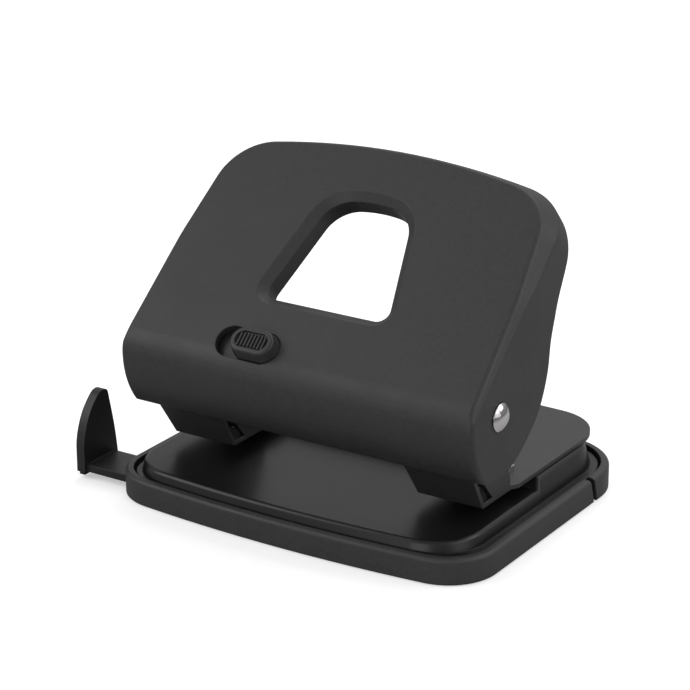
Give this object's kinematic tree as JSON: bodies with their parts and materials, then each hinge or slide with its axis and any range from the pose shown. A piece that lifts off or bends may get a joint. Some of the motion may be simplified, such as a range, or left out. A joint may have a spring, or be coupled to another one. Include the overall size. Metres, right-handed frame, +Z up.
{
  "type": "two hole desk paper punch",
  "caption": "Desk paper punch with a pivoting plastic lever, steel frame with spring-loaded punches, glossy paper deck, chip tray with door, lock slider and sliding paper guide.",
  "frame": {"origin": "point on the resting plane midway between the two punch axes", "axes": "+X to the right across the punch (left punch at -X), +Y from the paper side to the rear, +Z up"},
  "size_m": [0.1322, 0.0962, 0.0939],
  "materials": {
    "lever_plastic": "matte fine-grained moulded plastic",
    "tray_plastic": "matte soft-touch plastic",
    "guide_plastic": "satin black plastic",
    "slider_plastic": "satin black plastic with ribs",
    "gloss_base": "glossy black enamel on pressed steel",
    "satin_frame": "satin grey-black lacquer on steel",
    "chrome_axle": "polished chrome plating",
    "zinc_steel": "zinc-plated pressed steel",
    "zinc_fasteners": "zinc plating",
    "tool_steel": "ground hardened steel",
    "spring_steel": "drawn spring steel"
  },
  "bodies": {
    "base": {"base_tray": "tray_plastic", "base_plate": "gloss_base", "die_bushes": "tool_steel", "frame_plate": "satin_frame", "frame_rivets": "zinc_fasteners", "guide_bridge_left": "zinc_steel", "guide_bridge_right": "zinc_steel", "bridge_rivets": "zinc_fasteners", "pivot_axle": "chrome_axle", "axle_cap": "chrome_axle", "return_spring_left": "spring_steel", "return_spring_right": "spring_steel", "door_hinge_pins": "zinc_fasteners"},
    "chip_door": {"chip_door": "tray_plastic"},
    "lever": {"lever_shell": "lever_plastic", "lever_core": "zinc_steel", "lever_screws": "zinc_fasteners", "lock_keeper": "zinc_steel", "keeper_screws": "zinc_fasteners"},
    "lock": {"lock_slider": "slider_plastic"},
    "punch_left": {"punch_pin_left": "tool_steel", "spring_clip_left": "spring_steel"},
    "punch_right": {"punch_pin_right": "tool_steel", "spring_clip_right": "spring_steel"},
    "guide": {"paper_guide": "guide_plastic"}
  },
  "joints": [
    {"name": "lever_hinge", "type": "hinge", "parent": "base", "child": "lever", "pos_m": [0, -0.0161, 0.0414], "axis": [-1, 0, 0], "range_deg": [0, 28.5]},
    {"name": "punch_left_slide", "type": "slide", "parent": "base", "child": "punch_left", "axis": [0, 0, -1], "range_m": [0, 0.0081], "deforming": ["return_spring_left"]},
    {"name": "punch_right_slide", "type": "slide", "parent": "base", "child": "punch_right", "axis": [0, 0, -1], "range_m": [0, 0.0081], "deforming": ["return_spring_right"]},
    {"name": "lock_slide", "type": "slide", "parent": "lever", "child": "lock", "axis": [-1, 0, 0], "range_m": [0, 0.0055]},
    {"name": "paper_guide_slide", "type": "slide", "parent": "base", "child": "guide", "axis": [-1, 0, 0], "range_m": [-0.0075, 0.0787]},
    {"name": "chip_door_hinge", "type": "hinge", "parent": "base", "child": "chip_door", "pos_m": [0, 0.0333, 0.00175], "axis": [-1, 0, 0], "range_deg": [0, 70]}
  ],
  "couplings": [
    {"joint": "punch_left_slide", "follows": "lever_hinge", "m_per_rad": 0.0161},
    {"joint": "punch_right_slide", "follows": "lever_hinge", "m_per_rad": 0.0161}
  ]
}
